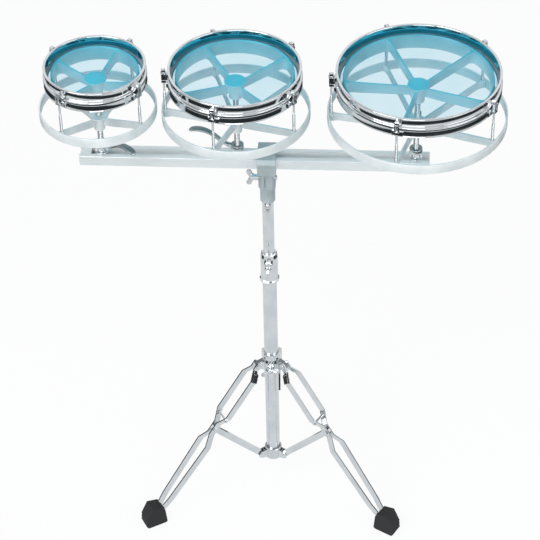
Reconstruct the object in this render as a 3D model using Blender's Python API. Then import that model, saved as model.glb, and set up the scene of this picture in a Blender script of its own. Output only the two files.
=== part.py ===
"""Three tunable hoop drums on a slotted twin-bar rail and a folding three-legged stand.

Metres, +Z up, +X along the rail towards the largest drum, the player stands at -Y.
The origin is on the floor, under the middle of the whole set's bounding box.
"""

import math
from dataclasses import dataclass

import bmesh
import bpy
from mathutils import Matrix, Vector

MM = 0.001
UP = Vector((0.0, 0.0, 1.0))

# ---- clearances -----------------------------------------------------------------------------
GAP = 0.3 * MM            # between pieces that touch
RUN_GAP = 0.35 * MM       # radial, round a turning or sliding shaft
TUNE_GAP = 1.4 * MM       # room for the tuning travel, over the flesh hoop
PIVOT_PLAY = 1.9 * MM     # radial play of the brace's outer hole, the open joint of the linkage


@dataclass(frozen=True)
class Drum:
    """One drum: its place on the rail, its size and where its spokes and rods stand."""

    name: str
    x: float
    head_radius: float
    rods: int
    first_rod: float
    upper_spokes: int
    first_upper: float
    lever: float
    segments: int


DRUMS = (
    Drum("small", -280.0 * MM, 76.2 * MM, 4, 57.0, 4, 66.0, -40.0, 28),
    Drum("middle", -49.5 * MM, 101.6 * MM, 5, 40.0, 4, 34.0, 167.0, 32),
    Drum("large", 250.5 * MM, 127.0 * MM, 5, 40.0, 5, 42.0, 88.0, 36),
)

# ---- rail -----------------------------------------------------------------------------------
RAIL_TOP = 788.0 * MM
RAIL_HEIGHT = 19.0 * MM
RAIL_LEFT = -317.0 * MM
RAIL_RIGHT = 274.5 * MM
BAR_DEPTH = 8.5 * MM
SLOT_WIDTH = 17.0 * MM
GROOVE_DEPTH = 4.0 * MM
GROOVE_HEIGHT = 8.0 * MM
GROOVE_DROP = 6.0 * MM    # groove's upper lip under the rail's top
END_BLOCK_LENGTH = 18.0 * MM
END_BLOCK_INSET = 1.5 * MM
BAR_CHAMFER = 0.8 * MM

# ---- a drum's heights, all down from the hoop's top ------------------------------------------
HOOP_ABOVE_RAIL = 178.5 * MM
HEAD_DROP = 13.0 * MM
HOOP_HEIGHT = 35.0 * MM
LEDGE_DROP = 17.2 * MM
UPPER_RING_HEIGHT = 26.0 * MM
UPPER_HUB_DROP = 27.0 * MM
UPPER_BARREL_DROP = 60.0 * MM
LOWER_RING_DROP = 80.5 * MM
LOWER_RING_HEIGHT = 17.5 * MM
LOWER_HUB_DROP = 102.0 * MM
LOWER_BARREL_DROP = 130.0 * MM

# ---- a drum's radial sizes ---------------------------------------------------------------------
HOOP_INNER = 3.9 * MM      # outside the head's nominal radius
HOOP_SHEET = 2.0 * MM
HOOP_RIM = 8.4 * MM
HOOP_LEDGE = 9.4 * MM
FLESH_INNER = 2.0 * MM
FLESH_WIDTH = 4.6 * MM
FLESH_HEIGHT = 6.4 * MM
FILM_THICKNESS = 0.4 * MM
BEARING_INSET = 3.0 * MM   # bearing edge inside the head's nominal radius
UPPER_WALL = 3.4 * MM
LOWER_RING_OUT = 21.9 * MM
LOWER_WALL = 3.0 * MM
ROD_OUT = 15.2 * MM
SPOKE_THICKNESS = 3.2 * MM
UPPER_SPOKE_HEIGHT = 17.0 * MM
LOWER_SPOKE_HEIGHT = 15.0 * MM

# ---- post, base and lock lever -------------------------------------------------------------------
POST_RADIUS = 4.75 * MM
POST_TOP_DROP = 32.5 * MM
FOOT_LENGTH = 16.0 * MM
FOOT_HEIGHT = 7.0 * MM
BASE_WASHER_RADIUS = 11.5 * MM
BASE_WASHER_HEIGHT = 2.2 * MM
BASE_RADIUS = 7.2 * MM
BASE_HEIGHT = 9.0 * MM
LEVER_HUB_RADIUS = 11.0 * MM
LEVER_HUB_HEIGHT = 9.0 * MM

# ---- rods ---------------------------------------------------------------------------------------
ROD_THIN = 1.8 * MM
ROD_THICK = 2.5 * MM
ROD_HEAD = 6.6 * MM
ROD_HEAD_HEIGHT = 5.6 * MM
ROD_WASHER = 5.2 * MM
ROD_WASHER_HEIGHT = 1.4 * MM
ROD_STEP_DROP = 48.0 * MM
LUG_TOP_DROP = 9.0 * MM
LUG_WIDTH = 10.0 * MM
LUG_FOOT_WIDTH = 20.0 * MM
BOSS_RADIUS = 4.9 * MM
BOSS_HEIGHT = 14.5 * MM

# ---- stand --------------------------------------------------------------------------------------
UPPER_TUBE_RADIUS = 10.0 * MM
UPPER_TUBE_WALL = 1.3 * MM
UPPER_TUBE_BOTTOM = 400.0 * MM
LOWER_TUBE_RADIUS = 12.7 * MM
LOWER_TUBE_WALL = 1.4 * MM
LOWER_TUBE_BOTTOM = 64.0 * MM
LOWER_TUBE_TOP = 545.0 * MM
CLAMP_WIDTH = 31.0 * MM
CLAMP_FRONT_WALL = 8.7 * MM
CLAMP_REAR_WALL = 6.7 * MM
CLAMP_TOP_WALL = 9.7 * MM
CLAMP_BOTTOM_WALL = 8.7 * MM
SOCKET_WIDTH = 29.0 * MM
SOCKET_FRONT = 19.0 * MM
SOCKET_BACK = 14.0 * MM
SOCKET_HEIGHT = 34.0 * MM
SOCKET_BARREL = 13.0 * MM
SOCKET_BARREL_LENGTH = 35.0 * MM
SOCKET_CUT = 1.0 * MM
COLLAR_BOTTOM = 510.0 * MM
COLLAR_TOP = 573.0 * MM
COLLAR_RADIUS = 15.5 * MM
COLLAR_LIP = 2.0 * MM
HEIGHT_SCREW_Z = 559.0 * MM
LEG_COLLAR_BOTTOM = 292.0 * MM
LEG_COLLAR_TOP = 334.0 * MM
LEG_COLLAR_RADIUS = 17.0 * MM
LEG_SCREW_Z = 308.0 * MM
LEG_PIVOT = (30.0 * MM, 310.0 * MM)      # radius from the tube's axis, height
LEG_FOOT = (250.0 * MM, 20.0 * MM)
LEG_MID = 152.0 * MM                     # brace pivot, along the leg from its own pivot
BRACE_PIVOT = (25.0 * MM, 75.0 * MM)
STRAP_HEIGHT = 12.0 * MM
STRAP_THICKNESS = 2.5 * MM
EAR_THICKNESS = 8.0 * MM
BRACE_HEIGHT = 11.5 * MM
BRACE_THICKNESS = 5.0 * MM
PIN_RADIUS = 2.4 * MM
FOOT_WIDTH = 26.0 * MM
FOOT_POCKET = 12.0 * MM
SPACER = LEG_MID - 30.0 * MM             # spacer rivet, along the leg
SPREAD = 17.5 * MM                       # half the straps' spread between collar and spacer
SPREAD_START = 28.0 * MM
LEG_ANGLES = {"left": 210.0, "right": 330.0, "rear": 93.0}
PAD_SIDES = {"left": 1, "right": -1}     # which strap of a leg carries the black pad

# ---- the frame: the stand's axis seen from the middle of the bounding box ------------------------
FOOT_REACH = 276.0 * MM                  # outermost point of a foot from the tube's axis
AXIS_X = -0.5 * (DRUMS[2].x + DRUMS[2].head_radius + DRUMS[0].x - DRUMS[0].head_radius)
TURN = math.radians(LEG_ANGLES["rear"] - 90.0)
REAR_REACH = FOOT_REACH * math.cos(TURN) + FOOT_WIDTH * 0.5 * math.sin(TURN)
FRONT_REACH = FOOT_REACH * 0.5 + FOOT_WIDTH * 0.5 * math.cos(math.radians(30.0))   # corners of the near feet
AXIS_Y = -0.5 * (REAR_REACH - FRONT_REACH)

HOOP_TOP = RAIL_TOP + HOOP_ABOVE_RAIL
RAIL_BOTTOM = RAIL_TOP - RAIL_HEIGHT
RAIL_HALF = SLOT_WIDTH / 2 + BAR_DEPTH
POST_BORE = POST_RADIUS + RUN_GAP
LEVER_Z = RAIL_TOP + GAP + BASE_WASHER_HEIGHT + BASE_HEIGHT + GAP


# ---- building blocks ------------------------------------------------------------------------------
def material(name: str, colour: tuple, metallic: float, roughness: float, alpha: float = 1.0):
    """Return a Principled material with the given values."""
    made = bpy.data.materials.new(name)
    made.use_nodes = True
    shader = made.node_tree.nodes["Principled BSDF"]
    shader.inputs["Base Color"].default_value = (*colour, 1.0)
    shader.inputs["Metallic"].default_value = metallic
    shader.inputs["Roughness"].default_value = roughness
    shader.inputs["Alpha"].default_value = alpha
    made.diffuse_color = (*colour, alpha)
    made.metallic = metallic
    made.roughness = roughness
    return made


LOOKS = {
    "chrome": ((0.78, 0.79, 0.80), 1.0, 0.08, 1.0),
    "cast": ((0.55, 0.57, 0.58), 1.0, 0.38, 1.0),
    "aluminium": ((0.62, 0.65, 0.66), 1.0, 0.32, 1.0),
    "film": ((0.05, 0.42, 0.62), 0.0, 0.12, 0.45),
    "rubber": ((0.015, 0.015, 0.016), 0.0, 0.7, 1.0),
    "dark": ((0.10, 0.11, 0.11), 0.6, 0.4, 1.0),
}


def mesh_object(name: str, bm: bmesh.types.BMesh, origin: Vector | None = None):
    """Turn a closed bmesh, drawn in world coordinates, into an object with the given origin."""
    bmesh.ops.remove_doubles(bm, verts=bm.verts, dist=1e-7)
    bmesh.ops.recalc_face_normals(bm, faces=bm.faces)
    origin = origin or Vector()
    bmesh.ops.translate(bm, verts=bm.verts, vec=-origin)
    mesh = bpy.data.meshes.new(name)
    bm.to_mesh(mesh)
    bm.free()
    made = bpy.data.objects.new(name, mesh)
    made.location = origin
    bpy.context.scene.collection.objects.link(made)
    return made


def revolve(profile: list, segments: int, centre: Vector, axis: Vector = UP) -> bmesh.types.BMesh:
    """Turn a closed (radius, height) outline about an axis through centre."""
    bm = bmesh.new()
    turn = axis.to_track_quat("Z", "Y").to_matrix() if axis != UP else Matrix.Identity(3)
    rings = []
    for radius, height in profile:
        if radius < 1e-9:
            rings.append([bm.verts.new(centre + turn @ Vector((0, 0, height)))] * segments)
            continue
        ring = []
        for step in range(segments):
            angle = 2 * math.pi * step / segments
            point = Vector((radius * math.cos(angle), radius * math.sin(angle), height))
            ring.append(bm.verts.new(centre + turn @ point))
        rings.append(ring)
    for this, following in zip(rings, rings[1:] + rings[:1]):
        for step in range(segments):
            after = (step + 1) % segments
            corners = [this[step], this[after], following[after], following[step]]
            unique = list(dict.fromkeys(corners))
            if len(unique) > 2:
                bm.faces.new(unique)
    return bm


def rod_profile(radius: float, low: float, high: float, chamfer: float = 0.0) -> list:
    """Return the outline of a plain round bar, with an optional chamfer at both ends."""
    if chamfer:
        return [(0, low), (radius - chamfer, low), (radius, low + chamfer), (radius, high - chamfer),
                (radius - chamfer, high), (0, high)]
    return [(0, low), (radius, low), (radius, high), (0, high)]


def loft(sections: list) -> bmesh.types.BMesh:
    """Join closed rings of points, all of one count, into a capped solid."""
    bm = bmesh.new()
    rings = [[bm.verts.new(point) for point in section] for section in sections]
    count = len(rings[0])
    for this, following in zip(rings, rings[1:]):
        for step in range(count):
            after = (step + 1) % count
            bm.faces.new((this[step], this[after], following[after], following[step]))
    bm.faces.new(rings[0])
    bm.faces.new(list(reversed(rings[-1])))
    return bm


def prism(outline: list, place) -> bmesh.types.BMesh:
    """Extrude a flat outline between two offsets; place(u, v, w) gives the world point."""
    near, far = outline[1]
    return loft([[place(u, v, w) for u, v in outline[0]] for w in (near, far)])


def box(low: tuple, high: tuple) -> bmesh.types.BMesh:
    """Return a box between two corners."""
    x0, y0, z0 = low
    x1, y1, z1 = high
    return loft([[Vector((x, y, z)) for x, y in ((x0, y0), (x1, y0), (x1, y1), (x0, y1))] for z in (z0, z1)])


def combine(base, others: list, operation: str):
    """Apply exact booleans of the other objects to base, and remove them."""
    for other in others:
        modifier = base.modifiers.new("combine", "BOOLEAN")
        modifier.operation = operation
        modifier.solver = "EXACT"
        modifier.object = other
        bpy.context.view_layer.update()
        graph = bpy.context.evaluated_depsgraph_get()
        shaped = bpy.data.meshes.new_from_object(base.evaluated_get(graph))
        base.modifiers.clear()
        base.data = shaped
        bpy.data.objects.remove(other)
    return base


def union(name: str, parts: list, origin: Vector | None = None):
    """Fuse closed bmeshes into one named body."""
    base = mesh_object(name, parts[0], origin)
    return combine(base, [mesh_object(f"{name}_more", bm) for bm in parts[1:]], "UNION")


def cut(base, cutters: list):
    """Cut closed bmeshes out of a body."""
    return combine(base, [mesh_object("cutter", bm) for bm in cutters], "DIFFERENCE")


def finish(made, look: str, smooth: float = 32.0):
    """Give a body its material and its smooth shading, and tidy what the booleans left."""
    bm = bmesh.new()
    bm.from_mesh(made.data)
    bmesh.ops.remove_doubles(bm, verts=bm.verts, dist=2e-6)
    bmesh.ops.dissolve_degenerate(bm, edges=bm.edges, dist=1e-6)
    bm.to_mesh(made.data)
    bm.free()
    made.data.materials.clear()
    colour, metallic, roughness, alpha = LOOKS[look]
    made.data.materials.append(material(f"{made.name}_{look}", colour, metallic, roughness, alpha))
    made.data.shade_smooth()
    made.data.set_sharp_from_angle(angle=math.radians(smooth))
    return made


def radial(centre: Vector, angle: float):
    """Return place(u, v, w): u outwards at the angle, v upwards, w sideways."""
    out = Vector((math.cos(math.radians(angle)), math.sin(math.radians(angle)), 0.0))
    side = Vector((-out.y, out.x, 0.0))
    return lambda u, v, w: centre + out * u + UP * v + side * w


def fan(count: int, first: float) -> list:
    """Return evenly spread angles in degrees."""
    return [first + 360.0 * step / count for step in range(count)]


def spoke(place, stations: list) -> bmesh.types.BMesh:
    """Loft an upright plate through (radius, half width, top, bottom) stations."""
    return loft([[place(r, top, half), place(r, top, -half), place(r, low, -half), place(r, low, half)]
                 for r, half, top, low in stations])


# ---- one drum ---------------------------------------------------------------------------------------
class DrumBuilder:
    """Builds the pieces of one drum about its post."""

    def __init__(self, drum: Drum):
        self.drum = drum
        self.base = Vector((AXIS_X + drum.x, AXIS_Y, 0.0))
        self.top = self.base + UP * HOOP_TOP

    def node(self, piece: str) -> str:
        """Return the node's name for a piece."""
        return f"{self.drum.name}_{piece}"

    def around(self, profile: list) -> bmesh.types.BMesh:
        """Turn a profile of (radius, drop from the hoop's top) about the post."""
        return revolve(profile, self.drum.segments, self.top)

    def hoop(self):
        """Flanged steel hoop with a lug at each rod."""
        r = self.drum.head_radius
        inner = r + HOOP_INNER
        wall = inner + HOOP_SHEET
        ledge = r + HOOP_LEDGE
        skirt = ledge - 0.6 * MM
        outline = [
            (inner + 1.4 * MM, 0), (r + HOOP_RIM, 0), (r + HOOP_RIM, -1.8 * MM), (wall, -3.4 * MM),
            (wall, -LEDGE_DROP + 1.6 * MM), (ledge, -LEDGE_DROP), (ledge, -LEDGE_DROP - 5.0 * MM),
            (skirt + 0.6 * MM, -HOOP_HEIGHT), (skirt - HOOP_SHEET, -HOOP_HEIGHT),
            (skirt - HOOP_SHEET, -LEDGE_DROP - 2.0 * MM), (inner, -LEDGE_DROP - 0.2 * MM), (inner, -1.6 * MM),
        ]
        parts = [self.around(outline)]
        holes = []
        for angle in fan(self.drum.rods, self.drum.first_rod):
            place = radial(self.top, angle)
            half = LUG_WIDTH / 2
            outer = r + ROD_OUT + half - MM
            block = [(wall - 0.4 * MM, -LUG_TOP_DROP - 2 * MM), (r + ROD_OUT - half + MM, -LUG_TOP_DROP),
                     (outer, -LUG_TOP_DROP), (outer, -HOOP_HEIGHT * 0.6), (r + ROD_OUT, -HOOP_HEIGHT * 0.72),
                     (skirt - MM, -HOOP_HEIGHT * 0.78), (skirt - MM, -LEDGE_DROP - 3 * MM), (wall - 0.4 * MM, -LEDGE_DROP)]
            parts.append(prism((block, (-half, half)), place))
            foot = [(skirt - MM, -HOOP_HEIGHT * 0.66), (skirt + 2.6 * MM, -HOOP_HEIGHT * 0.68),
                    (skirt + 2.6 * MM, -HOOP_HEIGHT * 0.92), (skirt - MM, -HOOP_HEIGHT * 0.93)]
            parts.append(prism((foot, (-LUG_FOOT_WIDTH / 2, LUG_FOOT_WIDTH / 2)), place))
            holes.append(revolve(rod_profile(ROD_THIN + RUN_GAP, -HOOP_HEIGHT, 0), 8, place(r + ROD_OUT, 0, 0)))
        return finish(cut(union(self.node("hoop"), parts, self.top), holes), "chrome")

    def head(self):
        """Drum head: clear blue film crimped into its aluminium flesh hoop."""
        edge = self.drum.head_radius - BEARING_INSET
        inside = self.drum.head_radius + FLESH_INNER
        collar = inside + FILM_THICKNESS - 0.1 * MM
        high = -LEDGE_DROP - 2.0 * MM - GAP
        low = high - FLESH_HEIGHT
        thick = FILM_THICKNESS
        outer = [(0, -HEAD_DROP), (edge - 0.6 * MM, -HEAD_DROP), (edge + 1.4 * MM, -HEAD_DROP - 0.6 * MM),
                 (edge + 2.8 * MM, -HEAD_DROP - 2.2 * MM), (collar, -HEAD_DROP - 8.0 * MM), (collar, low + MM)]
        inner = [(max(0.0, radius - thick), height - (thick if number < 4 else 0))
                 for number, (radius, height) in enumerate(outer)]
        band = [(inside, high), (inside + FLESH_WIDTH, high), (inside + FLESH_WIDTH, low), (inside, low)]
        parts = [self.around(outer + inner[::-1]), self.around(band)]
        return finish(union(self.node("head"), parts, self.top), "film")

    def upper_frame(self):
        """Cast ring with the bearing edge, spokes that rise to it, and the bearing hub."""
        edge = self.drum.head_radius - BEARING_INSET
        inner = edge - UPPER_WALL
        high = -HEAD_DROP - FILM_THICKNESS - GAP
        low = high - UPPER_RING_HEIGHT
        ring = [(edge - 1.6 * MM, high), (edge - 0.2 * MM, high - 0.9 * MM), (edge, high - 2.4 * MM), (edge, low),
                (inner, low), (inner, high - 1.6 * MM)]
        hub = -UPPER_HUB_DROP
        bore = -POST_TOP_DROP + GAP
        core = [(0, hub), (16.6 * MM, hub), (18.0 * MM, hub - 1.2 * MM), (18.0 * MM, hub - 3.6 * MM),
                (14.6 * MM, hub - 4.2 * MM), (14.6 * MM, hub - 3 * MM - UPPER_SPOKE_HEIGHT), (11.0 * MM, hub - 21.5 * MM),
                (11.0 * MM, -UPPER_BARREL_DROP), (POST_BORE, -UPPER_BARREL_DROP), (POST_BORE, bore), (0, bore)]
        parts = [self.around(ring), revolve(core, 20, self.top)]
        half = SPOKE_THICKNESS / 2
        for angle in fan(self.drum.upper_spokes, self.drum.first_upper):
            near = hub - 3.0 * MM
            far = high - 2.0 * MM
            sections = [(12.0 * MM, half, near, near - UPPER_SPOKE_HEIGHT), (18.0 * MM, half, near, near - UPPER_SPOKE_HEIGHT),
                        (inner - 9 * MM, half, far - 1.4 * MM, low + 2.4 * MM), (inner - 3.4 * MM, half + 1.2 * MM, far, low + 1.4 * MM),
                        (inner - 0.4 * MM, half + 4.2 * MM, far, low + 0.6 * MM), (inner + 1.2 * MM, half + 5.8 * MM, far, low + 0.6 * MM)]
            parts.append(spoke(radial(self.top, angle), sections))
        return finish(union(self.node("upper_frame"), parts, self.top), "cast")

    def lower_frame(self):
        """Threaded cast wheel that carries the rods' lower ends in bosses."""
        r = self.drum.head_radius
        outer = r + LOWER_RING_OUT
        inner = outer - LOWER_WALL
        high = -LOWER_RING_DROP
        low = high - LOWER_RING_HEIGHT
        ring = [(outer - 0.5 * MM, high), (outer, high - 0.5 * MM), (outer, low), (inner, low), (inner, high - 0.5 * MM),
                (inner + 0.5 * MM, high)]
        hub = -LOWER_HUB_DROP
        core = [(POST_BORE, hub), (16.4 * MM, hub), (16.4 * MM, hub - 3.0 * MM), (9.3 * MM, hub - 4.0 * MM),
                (9.3 * MM, -LOWER_BARREL_DROP), (POST_BORE, -LOWER_BARREL_DROP)]
        parts = [self.around(ring)]
        holes = []
        half = SPOKE_THICKNESS / 2
        for angle in fan(self.drum.rods, self.drum.first_rod):
            place = radial(self.top, angle)
            end = r + ROD_OUT - ROD_THICK - 1.4 * MM
            near = hub - 1.0 * MM
            sections = [(11.0 * MM, half, near, near - LOWER_SPOKE_HEIGHT), (17.0 * MM, half, near, near - LOWER_SPOKE_HEIGHT),
                        (end - 6 * MM, half, high - 2.4 * MM, low + 1.6 * MM), (end, half + 0.8 * MM, high - 0.9 * MM, low + 0.9 * MM)]
            parts.append(spoke(place, sections))
            boss = rod_profile(BOSS_RADIUS, high - 0.7 * MM - BOSS_HEIGHT, high - 0.7 * MM)
            parts.append(revolve(boss, 10, place(r + ROD_OUT, 0, 0)))
            holes.append(revolve(rod_profile(ROD_THICK + RUN_GAP, low - MM, high + MM), 8, place(r + ROD_OUT, 0, 0)))
        parts.append(revolve(core, 20, self.top))
        return finish(cut(union(self.node("lower_frame"), parts, self.top), holes), "cast")

    def rods(self):
        """Square-headed tension rods, thin above and threaded below."""
        bottom = -LOWER_RING_DROP - LOWER_RING_HEIGHT + 1.2 * MM
        seat = -LUG_TOP_DROP + GAP
        washer = seat + ROD_WASHER_HEIGHT
        for number, angle in enumerate(fan(self.drum.rods, self.drum.first_rod), 1):
            place = radial(self.top, angle)
            spot = place(self.drum.head_radius + ROD_OUT, 0, 0)
            outline = [(0, bottom), (ROD_THICK - 0.5 * MM, bottom), (ROD_THICK, bottom + MM), (ROD_THICK, -ROD_STEP_DROP),
                       (ROD_THIN, -ROD_STEP_DROP + 0.8 * MM), (ROD_THIN, seat), (ROD_WASHER, seat), (ROD_WASHER, washer),
                       (2.2 * MM, washer), (2.2 * MM, washer + 0.6 * MM), (0, washer + 0.6 * MM)]
            half = ROD_HEAD / 2
            head = [(-half, -half), (half, -half), (half, half), (-half, half)]
            turn = radial(spot, angle)
            block = loft([[turn(u * scale, height, w * scale) for u, w in head]
                          for height, scale in ((washer + 0.3 * MM, 1.0), (washer + ROD_HEAD_HEIGHT - 0.8 * MM, 1.0),
                                                (washer + ROD_HEAD_HEIGHT, 0.82))])
            finish(union(self.node(f"rod_{number}"), [revolve(outline, 8, spot), block], spot), "chrome")

    def post(self):
        """Threaded post with the flat foot that rides in the rail's grooves."""
        top = RAIL_TOP + HOOP_ABOVE_RAIL - POST_TOP_DROP - RUN_GAP
        high = RAIL_TOP - GROOVE_DROP - GAP
        half = SLOT_WIDTH / 2 + GROOVE_DEPTH - 0.5 * MM
        x, y, _ = self.base
        foot = box((x - FOOT_LENGTH / 2, y - half, high - FOOT_HEIGHT), (x + FOOT_LENGTH / 2, y + half, high))
        shaft = revolve(rod_profile(POST_RADIUS, high - FOOT_HEIGHT / 2, top, 0.6 * MM), 14, self.base)
        return finish(union(self.node("post"), [foot, shaft], self.base + UP * RAIL_TOP), "chrome")

    def base_nut(self):
        """Chrome washer and collar that stand on the rail."""
        low = RAIL_TOP + GAP
        mid = low + BASE_WASHER_HEIGHT
        high = mid + BASE_HEIGHT
        outline = [(POST_BORE, low), (BASE_WASHER_RADIUS, low), (BASE_WASHER_RADIUS, mid), (BASE_RADIUS, mid),
                   (BASE_RADIUS, high - 0.8 * MM), (BASE_RADIUS - 0.8 * MM, high), (POST_BORE, high)]
        return finish(mesh_object(self.node("base"), revolve(outline, 18, self.base), self.base + UP * RAIL_TOP), "chrome")

    def lever(self):
        """Cranked lock lever that rises from its hub and droops at its end."""
        place = radial(self.base + UP * LEVER_Z, self.drum.lever)
        path = [(7.0, 4.0, 4.6, 3.6), (17.0, 4.6, 4.2, 3.4), (27.0, 10.0, 4.4, 3.3), (38.0, 18.5, 4.8, 3.2),
                (48.0, 24.0, 5.2, 3.2), (60.0, 27.2, 5.8, 3.1), (72.0, 26.8, 6.2, 3.0), (80.0, 24.6, 5.6, 2.8),
                (84.0, 23.0, 3.0, 1.8)]
        sections = []
        for along, rise, half, thick in path:
            ring = [(half, -0.4), (half, 0.4), (half * 0.6, 1.0), (-half * 0.6, 1.0), (-half, 0.4), (-half, -0.4),
                    (-half * 0.6, -1.0), (half * 0.6, -1.0)]
            sections.append([place(along * MM, (rise + v * thick) * MM, w * MM) for w, v in ring])
        hub = [(POST_BORE, 0), (LEVER_HUB_RADIUS - MM, 0), (LEVER_HUB_RADIUS, MM), (LEVER_HUB_RADIUS, LEVER_HUB_HEIGHT - MM),
               (LEVER_HUB_RADIUS - MM, LEVER_HUB_HEIGHT), (POST_BORE, LEVER_HUB_HEIGHT)]
        origin = self.base + UP * LEVER_Z
        parts = [revolve(hub, 18, origin), loft(sections)]
        return finish(union(self.node("lever"), parts, origin), "dark")

    def build(self):
        """Build every piece of the drum."""
        self.hoop()
        self.head()
        self.upper_frame()
        self.lower_frame()
        self.rods()
        self.post()
        self.base_nut()
        self.lever()


# ---- rail and its clamp ----------------------------------------------------------------------------
def rail_place(u: float, v: float, w: float) -> Vector:
    """Place a point of a rail outline: u across, v up, w along."""
    return Vector((AXIS_X + w, AXIS_Y + u, v))


def build_rail():
    """Two grooved bars, joined by a block at the left end and open at the right."""
    inner = SLOT_WIDTH / 2
    lip = RAIL_TOP - GROOVE_DROP
    for name, side in (("rail_front", -1), ("rail_rear", 1)):
        outline = [(side * RAIL_HALF, RAIL_BOTTOM + BAR_CHAMFER), (side * RAIL_HALF, RAIL_TOP - BAR_CHAMFER),
                   (side * (RAIL_HALF - BAR_CHAMFER), RAIL_TOP), (side * inner, RAIL_TOP), (side * inner, lip),
                   (side * (inner + GROOVE_DEPTH), lip), (side * (inner + GROOVE_DEPTH), lip - GROOVE_HEIGHT),
                   (side * inner, lip - GROOVE_HEIGHT), (side * inner, RAIL_BOTTOM),
                   (side * (RAIL_HALF - BAR_CHAMFER), RAIL_BOTTOM)]
        bm = prism((outline, (RAIL_LEFT, RAIL_RIGHT)), rail_place)
        finish(mesh_object(name, bm, Vector((AXIS_X, AXIS_Y, RAIL_TOP))), "aluminium")
    left = RAIL_LEFT + END_BLOCK_INSET
    block = [(-inner + GAP, RAIL_BOTTOM), (inner - GAP, RAIL_BOTTOM), (inner - GAP, RAIL_TOP), (-inner + GAP, RAIL_TOP)]
    bm = prism((block, (left, left + END_BLOCK_LENGTH)), rail_place)
    finish(mesh_object("rail_end_block", bm, Vector((AXIS_X + left, AXIS_Y, RAIL_TOP))), "aluminium")


def build_clamp():
    """Block through which both bars pass, and the split socket under it."""
    half = CLAMP_WIDTH / 2
    front = -RAIL_HALF - CLAMP_FRONT_WALL
    rear = RAIL_HALF + CLAMP_REAR_WALL
    high = RAIL_TOP + CLAMP_TOP_WALL
    low = RAIL_BOTTOM - CLAMP_BOTTOM_WALL
    outline = [(front, low), (rear, low), (rear, high - 3 * MM), (rear - 3 * MM, high), (front + 9 * MM, high),
               (front + 2.5 * MM, high - 5 * MM), (front, high - 14 * MM)]
    block = mesh_object("rail_clamp", prism((outline, (-half, half)), rail_place), Vector((AXIS_X, AXIS_Y, RAIL_TOP)))
    windows = []
    for side in (-1, 1):
        inner = side * (SLOT_WIDTH / 2 - GAP)
        outer = side * (RAIL_HALF + GAP)
        window = [(inner, RAIL_BOTTOM - GAP), (outer, RAIL_BOTTOM - GAP), (outer, RAIL_TOP + GAP), (inner, RAIL_TOP + GAP)]
        windows.append(prism((window, (-half - MM, half + MM)), rail_place))
    finish(cut(block, windows), "cast")

    top = low - GAP
    floor = top - SOCKET_HEIGHT
    x, y = AXIS_X, AXIS_Y
    wide = SOCKET_WIDTH / 2
    axis = Vector((x, y, 0))
    head = [(-wide, -SOCKET_FRONT + 5 * MM), (-wide + 5 * MM, -SOCKET_FRONT), (wide - 5 * MM, -SOCKET_FRONT),
            (wide, -SOCKET_FRONT + 5 * MM), (wide, SOCKET_BACK - 4 * MM), (wide - 4 * MM, SOCKET_BACK),
            (-wide + 4 * MM, SOCKET_BACK), (-wide, SOCKET_BACK - 4 * MM)]
    upper = loft([[Vector((x + u, y + v, z)) for u, v in head] for z in (floor, top)])
    barrel = revolve(rod_profile(SOCKET_BARREL, floor - SOCKET_BARREL_LENGTH, floor + 4 * MM), 20, axis)
    socket = union("rail_socket", [upper, barrel], Vector((x, y, floor)))
    tube_top = top - 4 * MM
    bore = revolve(rod_profile(UPPER_TUBE_RADIUS + RUN_GAP, floor - SOCKET_BARREL_LENGTH - MM, tube_top + GAP), 20, axis)
    slit = box((x - 3.5 * MM, y - SOCKET_FRONT - MM, floor), (x - 3.5 * MM + SOCKET_CUT, y - 4 * MM, top + MM))
    relief = box((x - wide - MM, y - SOCKET_FRONT - MM, floor), (x - 2.6 * MM, y - 4 * MM, floor + SOCKET_CUT))
    screw_y = -UPPER_TUBE_RADIUS - 4.4 * MM
    screw_z = top - 10 * MM
    centre = Vector((x, y + screw_y, screw_z))
    way = Vector((1, 0, 0))
    hole = revolve(rod_profile(2.5 * MM + RUN_GAP, -wide - MM, wide + MM), 14, centre, way)
    finish(cut(socket, [bore, slit, relief, hole]), "cast")

    shaft = revolve([(0, -wide - 13 * MM), (5 * MM, -wide - 13 * MM), (5.5 * MM, -wide - 11 * MM), (5.5 * MM, -wide - GAP),
                     (2.5 * MM, -wide - GAP), (2.5 * MM, wide + GAP), (3.8 * MM, wide + GAP), (3.8 * MM, wide + 3 * MM),
                     (0, wide + 3.6 * MM)], 16, centre, way)
    wing = wing_plate(lambda u, v, w: centre + Vector((-wide - 5 * MM - u, w, v)), 15.0)
    finish(union("clamp_screw", [shaft, wing], centre), "chrome")
    return tube_top, floor - SOCKET_BARREL_LENGTH


def wing_plate(place, reach: float) -> bmesh.types.BMesh:
    """Return a two-winged plate; place(u, v, w): u away from the screw, v along the wings, w through."""
    outline = [(0, -4.0), (0, 4.0), (4.5, 7.0), (7.5, reach), (13.0, reach), (15.5, reach - 4.0), (12.0, 5.5), (9.5, 0),
               (12.0, -5.5), (15.5, -reach + 4.0), (13.0, -reach), (7.5, -reach), (4.5, -7.0)]
    return loft([[place(u * MM, v * MM, w) for u, v in outline] for w in (-1.7 * MM, 1.7 * MM)])


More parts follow.
